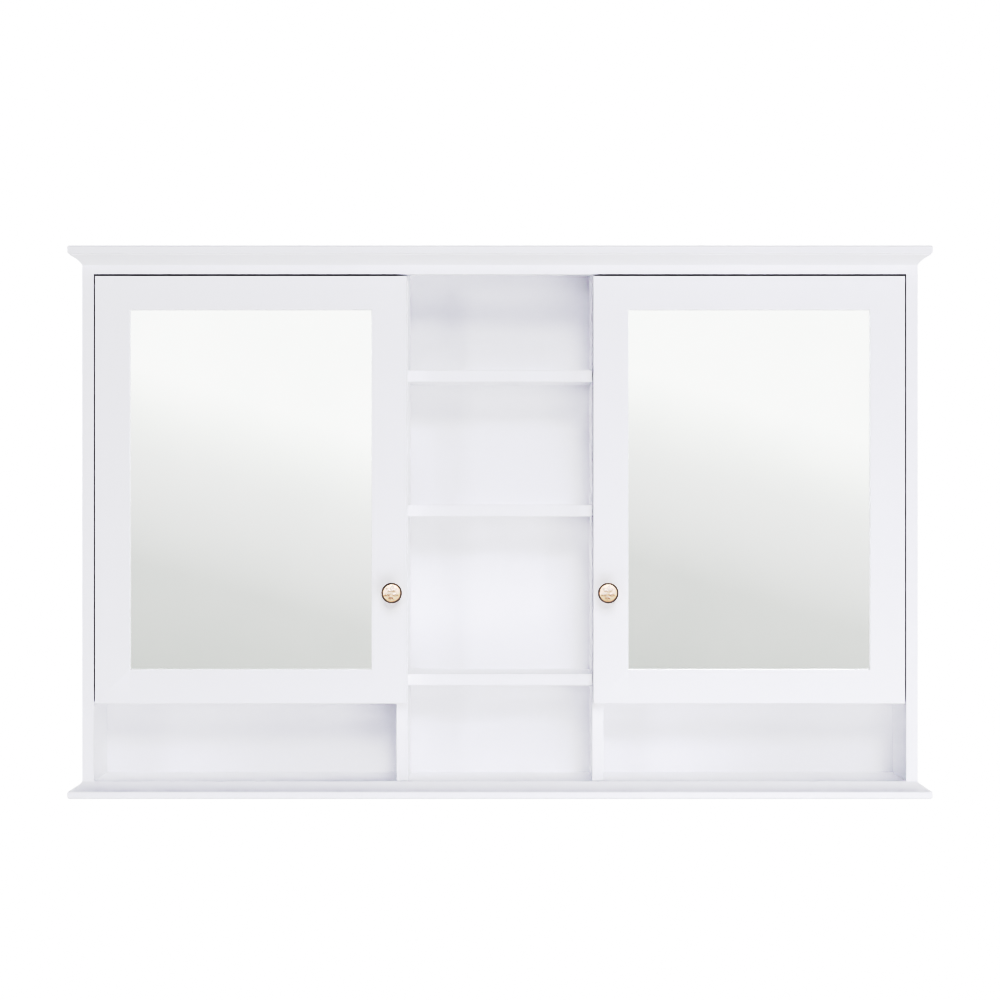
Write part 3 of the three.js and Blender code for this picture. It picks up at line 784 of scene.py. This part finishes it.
# Length, width, heading in degrees, and where on the stem each leaf starts, in millimetres.
LEAVES = (
    (8.6, 4.0, 78, (-0.4, 0.4)),
    (7.6, 3.8, 205, (-0.8, 0.2)),
    (7.2, 3.6, 345, (0.0, -0.6)),
    (6.4, 3.4, 140, (-0.9, 1.0)),
    (6.0, 3.2, 35, (0.2, 1.2)),
    (4.6, 2.6, 245, (-1.0, -2.2)),
    (4.4, 2.4, 300, (-0.3, -2.8)),
)


def leaf_relief():
    parts = []
    for length, width, heading, (x, y) in LEAVES:
        turn = Matrix.Rotation(math.radians(heading), 4, "Z")
        place = Matrix.Translation((x * MM, y * MM, 0))
        parts.append(moved(leaf(length * MM, width * MM, LEAF_HEIGHT), place @ turn))
    curve = bend((-1.6 * MM, -7.6 * MM), (0.6 * MM, -3 * MM), (-0.5 * MM, 1.4 * MM), 14)
    parts.append(stem(curve, STEM_RADIUS))
    relief = joined(parts)
    for vertex in relief.verts:
        radius = math.hypot(vertex.co.x, vertex.co.y)
        vertex.co.z += LEAF_SEAT + face_rise(radius)
    return relief


def make_knobs():
    for name, side in SIDES.items():
        low, high = BOXES[f"knob_{name}"]
        door = BODY_OF[f"knob_{name}"]
        centre = Vector(((low.x + high.x) / 2, FRONT, (low.z + high.z) / 2))
        upright = Matrix.Translation(centre) @ Matrix.Rotation(math.radians(90), 4, "X")
        parts = (
            ("body", knob_body(), GOLD, "knob_gold", [f"knob_{name}"]),
            ("rim", knob_rim(), BRONZE, "knob_bronze", []),
            ("face", knob_face(), CREAM, "knob_gold", []),
            ("leaves", leaf_relief(), LEAF, "knob_gold", []),
        )
        for part, bm, material, slot, replaced in parts:
            new_piece(f"knob_{name}_{part}", moved(bm, upright), door, material, replaced)
        spot = [(centre.x + side * 0.4 * MM, DOOR_BACK, centre.z)]
        place_screws(f"knob_{name}_screw", spot, (0, 1, 0), door, KNOB_SCREW)


# ---- Catches, bumpers and mirror fixings ----

CATCH_EASE = 0.9 * MM
THIN_EASE = 0.2 * MM  # of sheet parts
POLE_OFFSET = 2.4 * MM  # each side of the catch's middle
POLE_SIZE = (1.6 * MM, 26 * MM, 0.8 * MM)
POLE_CORNER = 0.3 * MM
POLE_SEAT = 0.65 * MM  # how far a pole's foot lies behind the front of the case
CATCH_SCREW_OFFSET = 17 * MM  # above and below the catch's middle
BUMPER_SIZE = (3.6 * MM, 0.85 * MM)
BUMPER_INSET = 14 * MM  # from the door's upper and lower edge
TAB_SIZE = (6 * MM, 6 * MM, 0.5 * MM)
TAB_CORNER = 1 * MM
TAB_INSET = 3 * MM


def plate(width, height, thickness, corner):
    """A flat plate with round corners in the xy plane, from z = 0 up."""
    outline = []
    for quarter, (sx, sy) in enumerate(((1, 1), (-1, 1), (-1, -1), (1, -1))):
        middle = (sx * (width / 2 - corner), sy * (height / 2 - corner))
        outline += arc(middle, corner, 90 * quarter, 90 * quarter + 90, 4)
    ease = thickness * 0.2
    inner = [(x * (1 - 2 * ease / width), y * (1 - 2 * ease / height)) for x, y in outline]
    levels = ((inner, 0), (outline, ease), (outline, thickness - ease), (inner, thickness))
    return skin([[(x, y, z) for x, y in ring] for ring, z in levels])


def make_catches():
    """A magnet between two steel pole plates in a white case, and a steel strike on the door."""
    for name, side in SIDES.items():
        refine(f"catch_body_{name}", CATCH_EASE, PLASTIC, "catch_plastic")
        strike = f"catch_strike_{name}"
        refine(strike, THIN_EASE, ZINC, "zinc_plate", shortest=0.5 * MM, segments=2)
        low, high = BOXES[f"catch_body_{name}"]
        x, z = (low.x + high.x) / 2, (low.z + high.z) / 2
        poles = []
        for offset in (-POLE_OFFSET, POLE_OFFSET):
            turn = Matrix.Rotation(math.radians(90), 4, "X")
            place = Matrix.Translation((x + offset, low.y + POLE_SEAT, z))
            poles.append(moved(plate(*POLE_SIZE, POLE_CORNER), place @ turn))
        new_piece(f"catch_poles_{name}", joined(poles), "carcass", ZINC)
        face = high.x if side > 0 else low.x
        depth = (low.y + high.y) / 2
        spots = [(face, depth, z + way * CATCH_SCREW_OFFSET) for way in (-1, 1)]
        place_screws(f"catch_screws_{name}", spots, (side, 0, 0), "carcass", CATCH_SCREW)


def bumper(radius, height):
    dome = [(radius, 0), (radius, 0.25 * height)]
    dome += [(radius * math.cos(a), height * (0.25 + 0.75 * math.sin(a))) for a in (0.4, 0.8, 1.2)]
    return lathe(dome + [(radius * 0.1, height)], 24)


def make_bumpers():
    """Soft buttons on the door's back that meet the divider's front edge."""
    for name in SIDES:
        low, high = BOXES[f"door_{name}_inner_stile"]
        divider = middle_of(f"divider_{name}").x
        heights = (low.z + BUMPER_INSET, high.z - BUMPER_INSET)
        spots = [(divider, DOOR_BACK, z) for z in heights]
        buttons = [moved(bumper(*BUMPER_SIZE), facing((0, 1, 0), spot)) for spot in spots]
        body = BODY_OF[f"door_{name}_inner_stile"]
        new_piece(f"door_bumpers_{name}", joined(buttons), body, RUBBER)


def make_mirror(name):
    """The mirror and its backing, held in the rebate by flat glazing points."""
    refine(f"door_{name}_mirror", 0.4 * MM, MIRROR, "mirror_glass", segments=1)
    refine(f"door_{name}_backing", THIN_EASE, HARDBOARD, "hardboard", segments=1)
    low, high = BOXES[f"door_{name}_backing"]
    along_x = [low.x + (high.x - low.x) * part for part in (0.25, 0.75)]
    along_z = [low.z + (high.z - low.z) * part for part in (0.15, 0.5, 0.85)]
    spots = [(x, z) for x in along_x for z in (low.z + TAB_INSET, high.z - TAB_INSET)]
    spots += [(x, z) for x in (low.x + TAB_INSET, high.x - TAB_INSET) for z in along_z]
    points = []
    for x, z in spots:
        tab = plate(*TAB_SIZE, TAB_CORNER)
        points.append(moved(tab, facing((0, 1, 0), (x, high.y + 0.02 * MM, z))))
    body = BODY_OF[f"door_{name}_backing"]
    new_piece(f"glazing_points_{name}", joined(points), body, ZINC)


# ---- Wall hangers and the brads of the back panel ----

HANGER_SCREW_OFFSET = 23 * MM  # each side of the plate's middle
BRAD_INSET = 3 * MM
BRAD_RADIUS = 0.9 * MM


def make_hangers():
    for name in SIDES:
        node = f"hanger_plate_{name}"
        refine(node, THIN_EASE, ZINC, "zinc_plate", shortest=3 * MM, segments=2)
        centre = middle_of(node)
        rear = BOXES[node][1].y
        spots = [(centre.x + way * HANGER_SCREW_OFFSET, rear, centre.z) for way in (-1, 1)]
        place_screws(f"hanger_screws_{name}", spots, (0, 1, 0), "carcass", HANGER_SCREW)


def make_brads():
    """Small brad heads along the back panel's edges, where it lies in its rebates."""
    low, high = BOXES["back_panel"]
    left, right = low.x + BRAD_INSET, high.x - BRAD_INSET
    bottom, top = low.z + BRAD_INSET, high.z - BRAD_INSET
    across = [left + (right - left) * i / 11 for i in range(12)]
    up = [bottom + (top - bottom) * i / 7 for i in range(1, 7)]
    spots = [(x, z) for x in across for z in (bottom, top)]
    spots += [(x, z) for x in (left, right) for z in up]
    for name in SIDES:
        spots += [(middle_of(f"divider_{name}").x, z) for z in up]
    head = [(BRAD_RADIUS, -0.3 * MM), (BRAD_RADIUS, 0.004 * MM), (0.1 * MM, 0.01 * MM)]
    heads = [moved(lathe(head, 12), facing((0, 1, 0), (x, high.y, z))) for x, z in spots]
    new_piece("back_panel_brads", joined(heads), "carcass", NICKEL)


# ---- Floor, lights and what the mirrors see ----

WORLD_FILL = 0.05  # as a light
WORLD_GLOSS = 0.85  # in reflections
LIGHT_COLOUR = (1, 1, 1.08)  # a little cool
# Strength, degrees left of the view, degrees above it, and the sun's size in degrees.
SUNS = {
    "low_left": (0.2, 26, 3, 9),
    "above": (0.34, -6, 19.5, 9),
    "high": (0.44, -4, 33, 26),
}
# Place and size in metres, power in watts, and whether glossy surfaces show it.
LAMPS = {
    "right": ((3.0, -1.7, 0.2), (1.4, 1.4), 17, True),
    "near": ((0.4, -1.7, -0.6), (0.8, 0.8), 5.0, False),
    "overhead": ((0.0, 0.9, 2.4), (1.8, 1.2), 10, True),
    "rear_left": ((-2.6, 2.2, 1.2), (1.6, 1.6), 24, True),
    "rear_right": ((2.6, 2.2, 1.0), (1.6, 1.6), 16, True),
}
DIFFUSE_BOUNCES = 14  # the white compartments pass light on many times
FLOOR_DROP = 0.85  # below the cabinet
FLOOR_RADIUS = 2.2
FLOOR_CLEAR = 0.5  # radius that stays plain floor before it fades


def make_world():
    """A white room: fully white to look at, and dimmer as a light."""
    world = bpy.data.worlds.new("white_room")
    bpy.context.scene.world = world
    world.use_nodes = True
    tree = world.node_tree
    back = tree.nodes["Background"]
    back.inputs["Color"].default_value = (1, 1, 1, 1)
    path = add_node(tree, "ShaderNodeLightPath").outputs
    glossy = between(tree, path["Is Glossy Ray"], WORLD_FILL, WORLD_GLOSS, 0, 1)
    inputs = {"Value": path["Is Camera Ray"], "To Min": glossy, "To Max": 1.0}
    strength = add_node(tree, "ShaderNodeMapRange", inputs).outputs["Result"]
    tree.links.new(strength, back.inputs["Strength"])


def area_light(name, place, size, power, seen_in_gloss=True):
    data = bpy.data.lights.new(name, "AREA")
    data.shape = "RECTANGLE"
    data.size, data.size_y = size
    data.energy = power
    data.color = LIGHT_COLOUR
    lamp = bpy.data.objects.new(name, data)
    lamp.location = place
    lamp.rotation_euler = (-Vector(place)).to_track_quat("-Z", "Y").to_euler()
    lamp.visible_camera = False
    lamp.visible_glossy = seen_in_gloss
    bpy.context.scene.collection.objects.link(lamp)


def make_lights():
    for name, (strength, *angles) in SUNS.items():
        left, up, size = (math.radians(angle) for angle in angles)
        data = bpy.data.lights.new(name, "SUN")
        data.energy = strength
        data.color = LIGHT_COLOUR
        data.angle = size
        sun = bpy.data.objects.new(name, data)
        flat = math.cos(up)
        way = Vector((math.sin(left) * flat, math.cos(left) * flat, -math.sin(up)))
        sun.rotation_euler = way.to_track_quat("-Z", "Y").to_euler()
        bpy.context.scene.collection.objects.link(sun)
    for name, (place, size, power, seen_in_gloss) in LAMPS.items():
        area_light(name, place, size, power, seen_in_gloss)


def floor_material():
    """Pale and plain in the middle, and fading into the white of the room."""
    made, tree, shader = new_material("floor")
    place = place_of(tree)
    speck = noise(tree, place, 40, detail=4)
    link(tree, shader, Base_Color=two_colours(tree, speck, (0.9, 0.9, 0.9), (0.92, 0.92, 0.92)))
    shader.inputs["Roughness"].default_value = 0.7
    flat = add_node(tree, "ShaderNodeVectorMath", {0: place, 1: (1, 1, 0)}, operation="MULTIPLY")
    inputs = {0: flat.outputs["Vector"]}
    radius = add_node(tree, "ShaderNodeVectorMath", inputs, operation="LENGTH").outputs["Value"]
    fade = between(tree, radius, 0, 1, FLOOR_CLEAR, 0.98 * FLOOR_RADIUS)
    white = add_node(tree, "ShaderNodeEmission", {"Strength": 1.0}).outputs["Emission"]
    inputs = {0: fade, 1: shader.outputs["BSDF"], 2: white}
    mixed = add_node(tree, "ShaderNodeMixShader", inputs).outputs["Shader"]
    tree.links.new(mixed, tree.nodes["Material Output"].inputs["Surface"])
    return made


def stage_piece(name, bm, material):
    """Turns a bmesh into something that belongs to the stage, not to the cabinet."""
    mesh = bpy.data.meshes.new(name)
    bm.to_mesh(mesh)
    bm.free()
    mesh.materials.append(material)
    made = bpy.data.objects.new(name, mesh)
    bpy.context.scene.collection.objects.link(made)
    return made


def make_floor():
    """A round floor well below the cabinet."""
    height = cad_box[0].z - FLOOR_DROP
    bm = lathe([(FLOOR_RADIUS, -0.02), (FLOOR_RADIUS, 0), (FLOOR_RADIUS / 2, 0), (0.01, 0)], 96)
    stage_piece("floor", moved(bm, Matrix.Translation((0, 0, height))), floor_material())


CARD = {"distance": 4.6, "half_width": 1.5, "low": -0.95, "high": 0.95}
CARD_MIDDLE = 0.5725  # where each mirror's own middle is seen on the card
CARD_SLANT = 0.3  # how much its greys rise to the right
# Height on the card, from 0 to 1, and its grey there.
CARD_GREYS = ((0, 0.467), (0.3, 0.509), (0.55, 0.67), (0.75, 0.846), (1, 0.846))


def maths(tree, operation, *values):
    made = add_node(tree, "ShaderNodeMath", operation=operation)
    for socket, value in zip(made.inputs, values):
        if isinstance(value, bpy.types.NodeSocket):
            tree.links.new(value, socket)
        else:
            socket.default_value = value
    return made.outputs[0]


def card_material():
    """A glow that runs from grey below to white above, a little slanted for each mirror."""
    made, tree, shader = new_material("card")
    tree.nodes.remove(shader)
    where = add_node(tree, "ShaderNodeTexCoord").outputs["Object"]
    split = add_node(tree, "ShaderNodeSeparateXYZ", {"Vector": where})
    x, z = split.outputs["X"], split.outputs["Z"]
    own_middle = maths(tree, "MULTIPLY", maths(tree, "SIGN", x), CARD_MIDDLE)
    slant = maths(tree, "MULTIPLY", maths(tree, "SUBTRACT", x, own_middle), CARD_SLANT)
    level = between(tree, maths(tree, "ADD", z, slant), 0, 1, -0.5, 0.5)
    ramp = add_node(tree, "ShaderNodeValToRGB", {"Fac": level})
    stops = ramp.color_ramp.elements
    for place, _ in CARD_GREYS[1:-1]:
        stops.new(place)
    for stop, (place, grey) in zip(stops, CARD_GREYS):
        stop.position = place
        stop.color = (grey, grey, 0.985 * grey, 1)
    glow = add_node(tree, "ShaderNodeEmission", {"Color": ramp.outputs["Color"], "Strength": 1.0})
    out = tree.nodes["Material Output"]
    tree.links.new(glow.outputs["Emission"], out.inputs["Surface"])
    return made


def make_card():
    """A softbox far in front, bright above and greyer below, that the mirrors reflect."""
    bm = bmesh.new()
    wide, low, high = CARD["half_width"], CARD["low"], CARD["high"]
    corners = [(-wide, 0, low), (wide, 0, low), (wide, 0, high), (-wide, 0, high)]
    bm.faces.new([bm.verts.new(corner) for corner in corners])
    card = stage_piece("card", bm, card_material())
    card.location = (0, FRONT - CARD["distance"], 0)
    card.visible_camera = False
    card.visible_diffuse = False


# The tones of a bright product photograph: whites drawn together, darks kept dark.
TONES = ((0, 0), (0.15, 0.06), (0.3, 0.25), (0.4, 0.55), (0.5, 0.73), (0.65, 0.84), (0.8, 0.94), (1, 1))


def make_look():
    scene = bpy.context.scene
    scene.view_settings.view_transform = "Standard"
    scene.view_settings.use_curve_mapping = True
    mapping = scene.view_settings.curve_mapping
    for point in TONES[1:-1]:
        mapping.curves[3].points.new(*point)
    mapping.update()
    scene.cycles.diffuse_bounces = DIFFUSE_BOUNCES
    scene.cycles.max_bounces = DIFFUSE_BOUNCES


# ---- The cabinet ----

make_camera()
refine_boards()
make_back_panel()
make_crown()
make_base()
make_cornice()
make_hinges()
make_shelf_pins()
make_knobs()
make_catches()
make_bumpers()
for side_name in SIDES:
    make_mirror(side_name)
make_hangers()
make_brads()
make_world()
make_lights()
make_floor()
make_card()
make_look()
